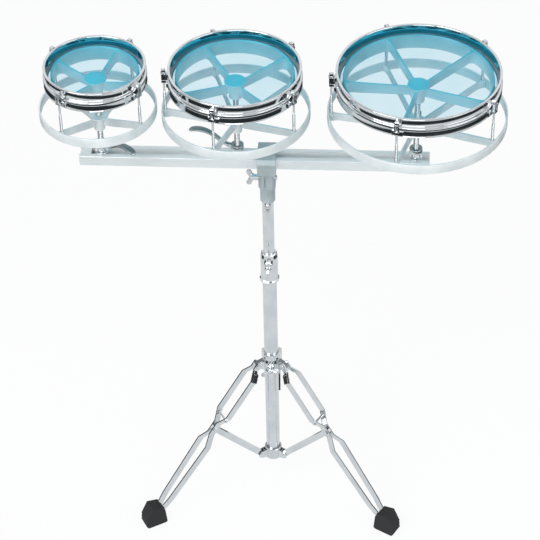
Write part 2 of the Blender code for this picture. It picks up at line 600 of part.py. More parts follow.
def build_tubes(tube_top: float, barrel_low: float):
    """Chrome telescoping tubes, the upper one with the stop screw under the socket."""
    axis = Vector((AXIS_X, AXIS_Y, 0))
    for name, radius, wall, low, high in (
            ("upper_tube", UPPER_TUBE_RADIUS, UPPER_TUBE_WALL, UPPER_TUBE_BOTTOM, tube_top),
            ("lower_tube", LOWER_TUBE_RADIUS, LOWER_TUBE_WALL, LOWER_TUBE_BOTTOM, LOWER_TUBE_TOP)):
        outline = [(radius, low), (radius, high), (radius - wall, high), (radius - wall, low)]
        parts = [revolve(outline, 20, axis)]
        if name == "upper_tube":
            spot = axis + Vector((0, -radius + 0.6 * MM, barrel_low - 8.0 * MM))
            stop = [(0, 0), (4.6 * MM, 0), (4.6 * MM, 2.4 * MM), (3.4 * MM, 4.0 * MM), (0, 4.4 * MM)]
            parts.append(revolve(stop, 16, spot, Vector((0, -1, 0))))
        finish(union(name, parts, axis + UP * low), "chrome")


def build_height_collar():
    """Cast collar that locks the upper tube, with its wing screw."""
    axis = Vector((AXIS_X, AXIS_Y, 0))
    fixed = LOWER_TUBE_RADIUS + GAP
    slide = UPPER_TUBE_RADIUS + RUN_GAP
    outline = [(fixed, COLLAR_BOTTOM), (COLLAR_RADIUS + COLLAR_LIP, COLLAR_BOTTOM),
               (COLLAR_RADIUS + COLLAR_LIP, COLLAR_BOTTOM + 3 * MM), (COLLAR_RADIUS, COLLAR_BOTTOM + 5 * MM),
               (COLLAR_RADIUS, COLLAR_TOP - 9 * MM), (COLLAR_RADIUS - 1.6 * MM, COLLAR_TOP - 2 * MM),
               (COLLAR_RADIUS - 3.2 * MM, COLLAR_TOP), (slide, COLLAR_TOP), (slide, LOWER_TUBE_TOP + GAP),
               (fixed, LOWER_TUBE_TOP + GAP)]
    front = Vector((0, -1, 0))
    centre = axis + UP * HEIGHT_SCREW_Z
    boss = revolve([(0, 12 * MM), (8 * MM, 12 * MM), (7.5 * MM, 24 * MM), (6.6 * MM, 25 * MM), (0, 25 * MM)], 20, centre, front)
    body = union("height_collar", [revolve(outline, 20, axis), boss], axis + UP * COLLAR_BOTTOM)
    clear_bore = revolve(rod_profile(slide, LOWER_TUBE_TOP + GAP, COLLAR_TOP), 20, axis)
    hole = revolve(rod_profile(3.0 * MM + RUN_GAP, 5 * MM, 30 * MM), 14, centre, front)
    finish(cut(body, [clear_bore, hole]), "chrome")
    build_wing_screw("height_screw", centre, UPPER_TUBE_RADIUS + RUN_GAP, 25.3 * MM, 24.0, 85.0)


def build_wing_screw(name: str, centre: Vector, tip: float, seat: float, reach: float, turn: float):
    """Screw that points at the tube's axis, with a hub and two wings turned from level."""
    front = Vector((0, -1, 0))
    shaft = revolve([(0, tip), (3 * MM, tip), (3 * MM, seat), (6 * MM, seat), (6 * MM, seat + 8 * MM), (4.6 * MM, seat + 9.5 * MM),
                     (0, seat + 9.5 * MM)], 16, centre, front)
    angle = math.radians(turn)
    along = Vector((math.cos(angle), 0, math.sin(angle)))
    through = Vector((-math.sin(angle), 0, math.cos(angle)))
    start = centre + front * (seat + MM)
    wing = wing_plate(lambda u, v, w: start + front * u + along * v + through * w, reach)
    finish(union(name, [shaft, wing], centre), "chrome")


# ---- tripod ----------------------------------------------------------------------------------------
def leg_axes():
    """Return the leg's length and its unit directions in the (radius, height) plane."""
    run = Vector((LEG_FOOT[0] - LEG_PIVOT[0], LEG_FOOT[1] - LEG_PIVOT[1]))
    along = run.normalized()
    return run.length, along, Vector((-along.y, along.x))


def leg_point(distance: float, lift: float = 0.0) -> tuple:
    """Return (radius, height) at a distance down the leg and a lift off its line."""
    _, along, across = leg_axes()
    return (LEG_PIVOT[0] + along.x * distance + across.x * lift, LEG_PIVOT[1] + along.y * distance + across.y * lift)


def strap_stations() -> list:
    """Return (distance, sideways offset) where a leg's straps bend, pinched at both pivots."""
    length, _, _ = leg_axes()
    top = EAR_THICKNESS / 2 + GAP + STRAP_THICKNESS / 2
    pinch = BRACE_THICKNESS / 2 + GAP + STRAP_THICKNESS / 2
    return [(-7 * MM, top), (8 * MM, top), (SPREAD_START, SPREAD), (SPACER - 6 * MM, SPREAD), (LEG_MID - 14 * MM, pinch),
            (LEG_MID + 12 * MM, pinch), (LEG_MID + 36 * MM, 15.5 * MM), (length - 44 * MM, 11.0 * MM),
            (length - 14 * MM, FOOT_WIDTH / 2 - 6.5 * MM)]


def pin(place, spot: tuple, reach: float, head: float) -> bmesh.types.BMesh:
    """Return a rivet that runs sideways through a leg, with a head at each end."""
    centre = place(spot[0], spot[1], 0)
    way = (place(spot[0], spot[1], 1) - centre).normalized()
    thick = 1.2 * MM
    outline = [(0, -reach - thick), (head - 0.8 * MM, -reach - thick), (head, -reach), (PIN_RADIUS, -reach), (PIN_RADIUS, reach),
               (head, reach), (head - 0.8 * MM, reach + thick), (0, reach + thick)]
    return revolve(outline, 8, centre, way)


def hole(place, spot: tuple, radius: float, reach: float) -> bmesh.types.BMesh:
    """Return a cutter for a sideways hole."""
    centre = place(spot[0], spot[1], 0)
    way = (place(spot[0], spot[1], 1) - centre).normalized()
    return revolve(rod_profile(radius, -reach, reach), 10, centre, way)


def build_leg(name: str, angle: float):
    """One folding leg: two bent straps, rivets fixed in the first, the brace and the rubber foot."""
    place = radial(Vector((AXIS_X, AXIS_Y, 0)), angle)
    pivot = place(*LEG_PIVOT, 0)
    half = STRAP_HEIGHT / 2
    stations = strap_stations()
    middle = leg_point(LEG_MID)
    spacer = leg_point(SPACER)
    top = stations[0][1] + STRAP_THICKNESS / 2 + GAP
    pinch = stations[4][1] + STRAP_THICKNESS / 2 + GAP
    share = (SPACER - stations[3][0]) / (stations[4][0] - stations[3][0])
    wide = stations[3][1] + (stations[4][1] - stations[3][1]) * share + STRAP_THICKNESS / 2 + 2.2 * MM
    pins = [pin(place, LEG_PIVOT, top, 4.2 * MM), pin(place, middle, pinch, 4.2 * MM), pin(place, spacer, wide, 3.8 * MM)]
    for letter, side in (("a", 1), ("b", -1)):
        sections = []
        for distance, offset in stations:
            inner = side * (offset - STRAP_THICKNESS / 2)
            outer = side * (offset + STRAP_THICKNESS / 2)
            sections.append([place(*leg_point(distance, lift), w) for lift, w in
                             ((-half, inner), (half, inner), (half, outer), (-half, outer))])
        parts = [loft(sections)] + (pins if side == 1 else [])
        if PAD_SIDES.get(name) == side:
            parts.append(pad(place, side))
        strap = union(f"leg_{name}_strap_{letter}", parts, pivot)
        if side == -1:
            cut(strap, [hole(place, spot, PIN_RADIUS + RUN_GAP, 30 * MM) for spot in (LEG_PIVOT, middle, spacer)])
        finish(strap, "chrome")
    build_foot(name, place, stations)
    build_brace(name, place, middle)


def build_foot(name: str, place, stations: list):
    """Rubber shoe with a pocket for each strap's end and a ribbed outer face."""
    outline = [(0.233, 0.003), (0.236, 0.0), (0.272, 0.0), (FOOT_REACH, 0.006), (0.274, 0.012), (0.2755, 0.014), (0.2735, 0.020),
               (0.275, 0.022), (0.272, 0.028), (0.262, 0.047), (0.241, 0.042), (0.236, 0.034)]
    shoe = mesh_object(f"leg_{name}_foot", prism((outline, (-FOOT_WIDTH / 2, FOOT_WIDTH / 2)), place), place(0.25, 0, 0))
    length, _, _ = leg_axes()
    last = stations[-1]
    before = stations[-2]
    slots = []
    half = STRAP_HEIGHT / 2 + GAP
    for side in (1, -1):
        sections = []
        slope = (last[1] - before[1]) / (last[0] - before[0])
        for distance in (length - 60 * MM, length - 14 * MM + GAP):
            offset = last[1] + slope * (distance - last[0])
            inner = side * (offset - STRAP_THICKNESS / 2 - GAP)
            outer = side * (offset + STRAP_THICKNESS / 2 + GAP)
            sections.append([place(*leg_point(distance, lift), w) for lift, w in
                             ((-half, inner), (half, inner), (half, outer), (-half, outer))])
        slots.append(loft(sections))
    finish(cut(shoe, slots), "rubber")


def build_brace(name: str, place, middle: tuple):
    """Flat brace from the bottom bracket to the pinch of the leg's straps."""
    start = Vector(BRACE_PIVOT)
    end = Vector(middle)
    along = (end - start).normalized()
    across = Vector((-along.y, along.x))
    half = BRACE_HEIGHT / 2
    extra = 6.5 * MM
    length = (end - start).length
    outline = []
    for distance, lift in ((-extra, -half * 0.5), (-extra + 3 * MM, -half), (length + extra - 3 * MM, -half), (length + extra, -half * 0.5),
                           (length + extra, half * 0.5), (length + extra - 3 * MM, half), (-extra + 3 * MM, half), (-extra, half * 0.5)):
        outline.append(tuple(start + along * distance + across * lift))
    reach = BRACE_THICKNESS / 2
    bar = mesh_object(f"brace_{name}", prism((outline, (-reach, reach)), place), place(*BRACE_PIVOT, 0))
    holes = [hole(place, BRACE_PIVOT, PIN_RADIUS + RUN_GAP, 9 * MM), hole(place, middle, PIN_RADIUS + PIVOT_PLAY, 9 * MM)]
    finish(cut(bar, holes), "chrome")


def build_leg_collar():
    """Sliding collar with an ear for each leg, and its wing screw."""
    axis = Vector((AXIS_X, AXIS_Y, 0))
    bore = LOWER_TUBE_RADIUS + RUN_GAP
    outline = [(bore, LEG_COLLAR_BOTTOM), (LEG_COLLAR_RADIUS, LEG_COLLAR_BOTTOM), (LEG_COLLAR_RADIUS, LEG_COLLAR_TOP - 12 * MM),
               (LEG_COLLAR_RADIUS - 1.4 * MM, LEG_COLLAR_TOP - 4 * MM), (LEG_COLLAR_RADIUS - 1.4 * MM, LEG_COLLAR_TOP),
               (bore, LEG_COLLAR_TOP)]
    parts = [revolve(outline, 20, axis)]
    cutters = []
    radius, height = LEG_PIVOT
    for angle in LEG_ANGLES.values():
        place = radial(axis, angle)
        ear = [(14 * MM, height - 13 * MM), (radius + 1 * MM, height - 8 * MM), (radius + 6 * MM, height - 5 * MM),
               (radius + 7 * MM, height), (radius + 4 * MM, height + 6 * MM), (14 * MM, height + 10 * MM)]
        parts.append(prism((ear, (-EAR_THICKNESS / 2, EAR_THICKNESS / 2)), place))
        cutters.append(hole(place, LEG_PIVOT, PIN_RADIUS + RUN_GAP, 8 * MM))
    centre = axis + UP * LEG_SCREW_Z
    front = Vector((0, -1, 0))
    parts.append(revolve([(0, 14 * MM), (7 * MM, 14 * MM), (6.6 * MM, 22 * MM), (0, 22 * MM)], 18, centre, front))
    body = union("leg_collar", parts, axis + UP * LEG_COLLAR_BOTTOM)
    cutters.append(revolve(rod_profile(bore, LEG_COLLAR_BOTTOM - MM, LEG_COLLAR_TOP + MM), 20, axis))
    cutters.append(revolve(rod_profile(3.0 * MM + RUN_GAP, 8 * MM, 30 * MM), 14, centre, front))
    finish(cut(body, cutters), "chrome")
    build_wing_screw("leg_collar_screw", centre, LOWER_TUBE_RADIUS + RUN_GAP, 22.3 * MM, 17.0, 18.0)


def pad(place, side: int) -> bmesh.types.BMesh:
    """Return the pad on the nearer strap, close under the leg's pivot."""
    stations = strap_stations()
    first, last = stations[1], stations[2]
    half = STRAP_HEIGHT / 2 - 0.5 * MM
    sections = []
    for share in (0.25, 0.95):
        distance = first[0] + (last[0] - first[0]) * share
        offset = first[1] + (last[1] - first[1]) * share + STRAP_THICKNESS / 2 - 0.5 * MM
        inner = side * offset
        outer = side * (offset + 4.4 * MM)
        sections.append([place(*leg_point(distance, lift), w) for lift, w in
                         ((-half, inner), (half, inner), (half, outer), (-half, outer))])
    return loft(sections)


def build_bracket():
    """Bottom bracket with a slotted ear for each brace, and a pin riveted across each slot."""
    axis = Vector((AXIS_X, AXIS_Y, 0))
    radius, height = BRACE_PIVOT
    bore = LOWER_TUBE_RADIUS + GAP
    outline = [(bore, height - 13 * MM), (16 * MM, height - 13 * MM), (16 * MM, height + 10 * MM), (bore, height + 10 * MM)]
    parts = [revolve(outline, 20, axis)]
    cutters = []
    pins = []
    half = BRACE_THICKNESS / 2 + GAP
    for angle in LEG_ANGLES.values():
        place = radial(axis, angle)
        ear = [(14 * MM, height - 10 * MM), (radius + 2 * MM, height - 8 * MM), (radius + 7 * MM, height - 4 * MM),
               (radius + 7 * MM, height + 2 * MM), (radius + 3 * MM, height + 7 * MM), (14 * MM, height + 9 * MM)]
        wide = half + 2.6 * MM
        parts.append(prism((ear, (-wide, wide)), place))
        slot = [(17 * MM, height - 20 * MM), (radius + 20 * MM, height - 20 * MM), (radius + 20 * MM, height + 20 * MM),
                (17 * MM, height + 20 * MM)]
        cutters.append(prism((slot, (-half, half)), place))
        pins.append(mesh_object("pin", pin(place, BRACE_PIVOT, wide, 4.0 * MM)))
    body = union("bottom_bracket", parts, axis + UP * height)
    cutters.append(revolve(rod_profile(bore, height - 20 * MM, height + 20 * MM), 20, axis))
    finish(combine(cut(body, cutters), pins, "UNION"), "chrome")


def main():
    """Model the whole set."""
    for old in list(bpy.data.objects):
        bpy.data.objects.remove(old)
    for drum in DRUMS:
        DrumBuilder(drum).build()
    build_rail()
    tube_top, barrel_low = build_clamp()
    build_tubes(tube_top, barrel_low)
    build_height_collar()
    build_leg_collar()
    build_bracket()
    for name, angle in LEG_ANGLES.items():
        build_leg(name, angle)


main()
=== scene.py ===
"""Tunable hoop drum set: finer pieces, finishes, camera and light over the fixed frame.

Metres, +Z up, +X along the rail, the player stands at -Y. Heights and radii repeat the CAD's values.
"""

import logging
import math
from dataclasses import dataclass, field
from enum import Enum
from typing import Callable, Sequence

import bmesh
import bpy
from mathutils import Matrix, Vector


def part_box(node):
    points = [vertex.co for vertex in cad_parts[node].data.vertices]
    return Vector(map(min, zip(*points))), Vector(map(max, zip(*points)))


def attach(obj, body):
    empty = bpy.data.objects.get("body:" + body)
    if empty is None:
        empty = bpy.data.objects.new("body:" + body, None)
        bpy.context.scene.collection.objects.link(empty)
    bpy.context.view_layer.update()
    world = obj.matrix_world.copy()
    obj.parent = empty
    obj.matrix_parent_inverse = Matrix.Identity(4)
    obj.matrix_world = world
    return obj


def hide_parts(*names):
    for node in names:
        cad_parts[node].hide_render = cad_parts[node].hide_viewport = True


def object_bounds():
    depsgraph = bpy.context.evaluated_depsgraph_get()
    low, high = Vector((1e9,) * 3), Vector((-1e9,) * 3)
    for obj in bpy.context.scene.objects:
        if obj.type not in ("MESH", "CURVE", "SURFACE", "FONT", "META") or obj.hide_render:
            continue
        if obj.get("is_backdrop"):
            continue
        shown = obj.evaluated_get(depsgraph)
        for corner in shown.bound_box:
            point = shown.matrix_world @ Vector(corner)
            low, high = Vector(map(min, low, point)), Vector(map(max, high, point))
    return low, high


LOG = logging.getLogger("scene")
MM = 0.001

HOOP_TOP = 0.9665


def linear(code: str) -> tuple[float, float, float, float]:
    """Turn an sRGB hex colour into a linear colour.

    Args:
        code: Six hex digits after a hash sign.

    Returns:
        Red, green, blue and alpha, all from 0 to 1.
    """
    values = [int(code[i:i + 2], 16) / 255 for i in (1, 3, 5)]
    values = [v / 12.92 if v <= 0.04045 else ((v + 0.055) / 1.055) ** 2.4 for v in values]
    return (values[0], values[1], values[2], 1.0)


class Ray(Enum):
    """Light Path outputs that see the white background."""

    CAMERA = "Is Camera Ray"
    GLOSSY = "Is Glossy Ray"
    TRANSMISSION = "Is Transmission Ray"


class Blend(Enum):
    """Math and mix modes used by the finishes."""

    MULTIPLY = "MULTIPLY"
    MAXIMUM = "MAXIMUM"


class Tree:
    """A material's or a world's node tree with one small node-adding function."""

    def __init__(self, owner: bpy.types.ID) -> None:
        """Start from an empty tree.

        Args:
            owner: A material or a world.
        """
        owner.use_nodes = True
        self.tree = owner.node_tree
        self.tree.nodes.clear()

    def add(self, kind: str, inputs: dict | None = None, **settings: object) -> bpy.types.Node:
        """Add a node, set its properties and fill or link its inputs.

        Args:
            kind: The node's type name.
            inputs: Input name or index to a value or to an output socket.
            **settings: Node properties.

        Returns:
            The new node.
        """
        node = self.tree.nodes.new(kind)
        for name, value in settings.items():
            setattr(node, name, value)
        for key, value in (inputs or {}).items():
            if isinstance(value, bpy.types.NodeSocket):
                self.tree.links.new(value, node.inputs[key])
            else:
                node.inputs[key].default_value = value
        return node

    def ramp(self, factor: bpy.types.NodeSocket, stops: Sequence[tuple[float,
                                                                       tuple]]) -> bpy.types.NodeSocket:
        """Add a colour ramp.

        Args:
            factor: The socket that drives it.
            stops: Positions and colours, lowest first.

        Returns:
            The ramp's colour output.
        """
        node = self.add("ShaderNodeValToRGB", {"Fac": factor})
        elements = node.color_ramp.elements
        while len(elements) < len(stops):
            elements.new(0.5)
        for element, (position, colour) in zip(elements, stops):
            element.position = position
            element.color = colour
        return node.outputs["Color"]

    def grey(self, factor: bpy.types.NodeSocket, low: float, high: float) -> bpy.types.NodeSocket:
        """Map a noise value to a range of numbers.

        Args:
            factor: The noise value.
            low: Result where the noise is low.
            high: Result where it is high.

        Returns:
            The mapped value.
        """
        inputs = {"Value": factor, "From Min": 0.3, "From Max": 0.7, "To Min": low, "To Max": high}
        return self.add("ShaderNodeMapRange", inputs).outputs["Result"]

    def noise(self, per_metre: float, stretch: tuple[float, float, float] = (1.0, 1.0, 1.0),
              detail: float = 3.0) -> bpy.types.NodeSocket:
        """Add noise at a real size, in the object's own metres.

        Args:
            per_metre: Features to a metre.
            stretch: Scale along each axis; below 1 draws the grain out.
            detail: Octaves.

        Returns:
            The noise value.
        """
        place = self.add("ShaderNodeTexCoord").outputs["Object"]
        mapped = self.add("ShaderNodeMapping", {"Vector": place, "Scale": stretch}).outputs["Vector"]
        return self.add("ShaderNodeTexNoise", {"Vector": mapped, "Scale": per_metre,
                                               "Detail": detail}).outputs["Fac"]


@dataclass(frozen=True)
class Finish:
    """A surface finish; each kind builds its own nodes once."""

    name: str

    def build(self) -> bpy.types.Material:
        """Return the material, made on first use."""
        found = bpy.data.materials.get(self.name)
        if found:
            return found
        made = bpy.data.materials.new(self.name)
        tree = Tree(made)
        shader = self.shade(tree)
        tree.add("ShaderNodeOutputMaterial", {"Surface": shader})
        return made

    def shade(self, tree: Tree) -> bpy.types.NodeSocket:
        """Return the surface shader's output."""
        raise NotImplementedError


@dataclass(frozen=True)
class ChromePlate(Finish):
    """Bright nickel-chrome plate over polished steel: mirror-like, faint handling haze."""

    tint: str = "#E6E9EB"
    roughness: float = 0.07

    def shade(self, tree: Tree) -> bpy.types.NodeSocket:
        """Haze of a few centimetres, and a very low orange peel from polishing."""
        haze = tree.noise(38.0, detail=4.0)
        peel = tree.noise(140.0)
        colour = tree.ramp(haze, [(0.35, linear("#D9DDE0")), (0.65, linear(self.tint))])
        bump = tree.add("ShaderNodeBump", {"Height": peel, "Strength": 0.05, "Distance": 0.0004})
        return tree.add("ShaderNodeBsdfPrincipled", {
            "Base Color": colour, "Metallic": 1.0, "Roughness": tree.grey(haze, self.roughness * 0.6,
                                                                          self.roughness * 1.5),
            "Normal": bump.outputs["Normal"]}).outputs["BSDF"]


@dataclass(frozen=True)
class CastAluminium(Finish):
    """Sand-cast, tumbled aluminium: soft grey sheen with a fine grain of about half a millimetre."""

    tint: str = "#F2F6F7"
    shade_tint: str = "#E0E7E9"

    def shade(self, tree: Tree) -> bpy.types.NodeSocket:
        """Grain in the bump, cloudy tone from tumbling in the colour and roughness."""
        grain = tree.noise(1900.0, detail=4.0)
        cloud = tree.noise(26.0, detail=3.0)
        colour = tree.ramp(cloud, [(0.3, linear(self.shade_tint)), (0.7, linear(self.tint))])
        bump = tree.add("ShaderNodeBump", {"Height": grain, "Strength": 0.35, "Distance": 0.0002})
        return tree.add("ShaderNodeBsdfPrincipled", {
            "Base Color": colour, "Metallic": 0.35, "Roughness": tree.grey(cloud, 0.34, 0.48),
            "Normal": bump.outputs["Normal"]}).outputs["BSDF"]


@dataclass(frozen=True)
class BrushedBar(Finish):
    """Extruded, brushed and clear-anodised bar: streaks along X that spread the highlight."""

    tint: str = "#F0F4F5"
    dark: str = "#DDE4E6"

    def shade(self, tree: Tree) -> bpy.types.NodeSocket:
        """Long thin streaks, about a third of a millimetre across."""
        streak = tree.noise(2600.0, stretch=(0.012, 1.0, 1.0), detail=2.0)
        colour = tree.ramp(streak, [(0.25, linear(self.dark)), (0.75, linear(self.tint))])
        bump = tree.add("ShaderNodeBump", {"Height": streak, "Strength": 0.12, "Distance": 0.00015})
        return tree.add("ShaderNodeBsdfPrincipled", {
            "Base Color": colour, "Metallic": 0.45, "Roughness": tree.grey(streak, 0.3, 0.44),
            "Normal": bump.outputs["Normal"]}).outputs["BSDF"]


@dataclass(frozen=True)
class ClearFilm(Finish):
    """Dyed clear polyester film: glossy, a little hazy; light that falls through it is painted a strong
    blue, stronger than the filter the camera looks through.
    """

    filter_tint: str = "#F1F9FC"
    deep: str = "#E9F6FA"
    # cast is painted light: the blue that light rays take through the film, not what the camera sees
    # through it.
    cast: str = "#ADEEF8"
    body: str = "#25BAD8"
    cover: float = 0.045

    def shade(self, tree: Tree) -> bpy.types.NodeSocket:
        """A clear coloured filter, a thin dyed body over it, and polyester's mirror-like skin; the camera
        looks through the pale filter while every other ray takes the cast tint, painted blue light on the
        frames beneath.
        """
        cloud = tree.noise(14.0, detail=2.0)
        ripple = tree.noise(22.0, detail=1.0)
        pale = tree.ramp(cloud, [(0.3, linear(self.deep)), (0.7, linear(self.filter_tint))])
        # Painted light: camera rays pass the pale filter, every other ray the stronger cast tint, which
        # paints the frames beneath blue.
        path = tree.add("ShaderNodeLightPath").outputs[Ray.CAMERA.value]
        tint = tree.add("ShaderNodeMixRGB", {0: path, 1: linear(self.cast), 2: pale}).outputs[0]
        through = tree.add("ShaderNodeBsdfTransparent", {"Color": tint})
        bump = tree.add("ShaderNodeBump", {"Height": ripple, "Strength": 0.04, "Distance": 0.0006})
        skin = tree.add("ShaderNodeBsdfPrincipled", {
            "Base Color": linear(self.body), "Metallic": 0.0, "Roughness": tree.grey(cloud, 0.04, 0.09),
            "IOR": 1.57,
            "Normal": bump.outputs["Normal"]})
        facing = tree.add("ShaderNodeLayerWeight", {"Blend": 0.5,
                                                    "Normal": bump.outputs["Normal"]}).outputs["Facing"]
        gloss = tree.add("ShaderNodeMath", {0: facing, 1: 5.0}, operation="POWER").outputs[0]
        cover = tree.add("ShaderNodeMath", {0: gloss, 1: self.cover}, operation="ADD").outputs[0]
        return tree.add("ShaderNodeMixShader", {0: cover, 1: through.outputs[0],
                                                2: skin.outputs[0]}).outputs[0]


@dataclass(frozen=True)
class MouldedRubber(Finish):
    """Moulded black rubber: matte, faint mould texture, dust in the low spots."""

    tint: str = "#0D0F10"
    dust: str = "#1B1E20"

    def shade(self, tree: Tree) -> bpy.types.NodeSocket:
        """Pebble of a millimetre in the bump, dust of a few centimetres in the colour."""
        pebble = tree.noise(900.0)
        dust = tree.noise(45.0)
        colour = tree.ramp(dust, [(0.4, linear(self.tint)), (0.75, linear(self.dust))])
        bump = tree.add("ShaderNodeBump", {"Height": pebble, "Strength": 0.25, "Distance": 0.0003})
        return tree.add("ShaderNodeBsdfPrincipled", {
            "Base Color": colour, "Roughness": tree.grey(dust, 0.55, 0.72), "IOR": 1.52,
            "Normal": bump.outputs["Normal"]}).outputs["BSDF"]


@dataclass(frozen=True)
class PolishedLeverWithPaintedShade(Finish):
    """Forged lever, satin on its broad top and polished along its sides, with painted shade on the top
    and a painted highlight on the sides.
    """

    # top is a painted shade colour and side a painted highlight colour, not two tones of the metal.
    top: str = "#8A989A"
    side: str = "#D6DBDD"

    def shade(self, tree: Tree) -> bpy.types.NodeSocket:
        """The object normal's height tells the broad top from the polished sides: it sets the roughness,
        and it paints the top darker as painted shade and the sides lighter as a painted highlight.
        """
        normal = tree.add("ShaderNodeTexCoord").outputs["Normal"]
        up = tree.add("ShaderNodeSeparateXYZ", {"Vector": normal}).outputs["Z"]
        grain = tree.noise(700.0)
        painted_shade_and_polish_mask = tree.add("ShaderNodeMapRange", {"Value": up, "From Min": 0.55,
                                               "From Max": 0.8}).outputs["Result"]
        # Painted light: the sides get the pale painted highlight, the top the dark painted shade.
        colour = tree.ramp(painted_shade_and_polish_mask, [(0.0, linear(self.side)), (1.0, linear(self.top))])
        bump = tree.add("ShaderNodeBump", {"Height": grain, "Strength": 0.12, "Distance": 0.0002})
        rough = tree.add("ShaderNodeMapRange", {"Value": painted_shade_and_polish_mask, "To Min": 0.14,
                                                "To Max": 0.36}).outputs["Result"]
        return tree.add("ShaderNodeBsdfPrincipled", {
            "Base Color": colour, "Metallic": 0.9, "Roughness": rough,
            "Normal": bump.outputs["Normal"]}).outputs["BSDF"]


CHROME = ChromePlate("chrome_plate")
HARDWARE = ChromePlate("chrome_hardware", "#D2D6D8", 0.12)
CAST = CastAluminium("cast_aluminium")
WHEEL = CastAluminium("cast_wheel", "#EDF2F3", "#D9E1E3")
BLOCK = CastAluminium("cast_block", "#B9C4C6", "#9FACAF")
BAR = BrushedBar("brushed_bar")
FILM = ClearFilm("blue_film")
RUBBER = MouldedRubber("moulded_rubber")
LEVER = PolishedLeverWithPaintedShade("forged_lever")
FLESH = CastAluminium("rolled_aluminium", "#C6CCCE", "#AEB5B8")


@dataclass
class Shape:
    """Collects closed surfaces in one mesh and turns them into a piece."""

    mesh: bmesh.types.BMesh = field(default_factory=bmesh.new)

    def revolve(self, profile: Sequence[tuple[float, float]], segments: int, centre: Vector,
                axis: Vector = Vector((0, 0, 1))) -> None:
        """Turn a closed outline of (radius, height) about an axis.

        Args:
            profile: The outline's corners, in metres.
            segments: Steps round the axis.
            centre: A point on the axis, where height is 0.
            axis: The axis.
        """
        turn = axis.to_track_quat("Z", "Y").to_matrix() if axis.z < 0.999 else Matrix.Identity(3)
        rings = []
        for radius, height in profile:
            if radius < 1e-9:
                rings.append([self.mesh.verts.new(centre + turn @ Vector((0, 0, height)))] * segments)
                continue
            angles = [2 * math.pi * k / segments for k in range(segments)]
            rings.append([self.mesh.verts.new(centre + turn @ Vector((radius * math.cos(a),
                                                                      radius * math.sin(a), height)))
                          for a in angles])
        for this, after in zip(rings, rings[1:] + rings[:1]):
            for k in range(segments):
                n = (k + 1) % segments
                corners = list(dict.fromkeys([this[k], this[n], after[n], after[k]]))
                if len(corners) > 2:
                    self.mesh.faces.new(corners)

    def loft(self, sections: Sequence[Sequence[Vector]]) -> None:
        """Join rings of points, all of one count, into a capped solid.

        Args:
            sections: The rings, in order.
        """
        rings = [[self.mesh.verts.new(p) for p in section] for section in sections]
        count = len(rings[0])
        for this, after in zip(rings, rings[1:]):
            for k in range(count):
                n = (k + 1) % count
                self.mesh.faces.new((this[k], this[n], after[n], after[k]))
        self.mesh.faces.new(rings[0])
        self.mesh.faces.new(list(reversed(rings[-1])))

    def piece(self, name: str, finish: Finish, bevel: float = 0.0,
              angle: float = 35.0) -> bpy.types.Object:
        """Make the object.

        Args:
            name: The object's name.
            finish: Its finish.
            bevel: Edge radius in metres, or 0.
            angle: Edges sharper than this, in degrees, are kept sharp or bevelled.

        Returns:
            The object, linked to the scene.
        """
        bmesh.ops.recalc_face_normals(self.mesh, faces=self.mesh.faces)
        mesh = bpy.data.meshes.new(name)
        self.mesh.to_mesh(mesh)
        self.mesh.free()
        made = bpy.data.objects.new(name, mesh)
        bpy.context.scene.collection.objects.link(made)
        mesh.materials.append(finish.build())
        mesh.shade_smooth()
        mesh.set_sharp_from_angle(angle=math.radians(angle))
        if bevel:
            modifier = made.modifiers.new("edges", "BEVEL")
            modifier.width = bevel
            modifier.segments = 2
            modifier.limit_method = "ANGLE"
            modifier.angle_limit = math.radians(angle)
            modifier.harden_normals = True
        return made


def rounded(points: Sequence[tuple[float, float]], radius: float,
            steps: int = 3) -> list[tuple[float, float]]:
    """Round every corner of an outline.

    Args:
        points: The outline's corners.
        radius: The corner radius, cut down where an edge is short.
        steps: Points to a corner, less one.

    Returns:
        The rounded outline.
    """
    result: list[tuple[float, float]] = []
    count = len(points)
    for k, here in enumerate(points):
        if abs(here[0]) < 1e-9:
            result.append(here)
            continue
        corner = Vector(here)
        before, after = Vector(points[k - 1]), Vector(points[(k + 1) % count])
        reach = min(radius, (before - corner).length * 0.45, (after - corner).length * 0.45)
        start = corner + (before - corner).normalized() * reach
        end = corner + (after - corner).normalized() * reach
        for step in range(steps + 1):
            t = step / steps
            point = start * (1 - t) ** 2 + corner * 2 * t * (1 - t) + end * t ** 2
            result.append((point.x, point.y))
    return result


def radial(centre: Vector, degrees: float) -> Callable[[float, float, float], Vector]:
    """Return place(u, v, w): u outwards at the angle, v up, w sideways.

    Args:
        centre: The point that u, v and w start from.
        degrees: The angle about Z.
    """
    out = Vector((math.cos(math.radians(degrees)), math.sin(math.radians(degrees)), 0.0))
    side = Vector((-out.y, out.x, 0.0))
    return lambda u, v, w: centre + out * u + Vector((0, 0, v)) + side * w


def thread(radius: float, low: float, high: float, pitch: float,
           depth: float) -> list[tuple[float, float]]:
    """Return the outline of a threaded length, as close grooves.

    Args:
        radius: Outer radius.
        low: Lower end.
        high: Upper end.
        pitch: Groove spacing.
        depth: Groove depth.
    """
    count = max(1, int((high - low) / pitch))
    outline = []
    for k in range(count):
        base = low + (high - low) * k / count
        step = (high - low) / count
        outline += [(radius - depth, base), (radius, base + 0.35 * step), (radius, base + 0.6 * step)]
    return outline + [(radius - depth, high)]


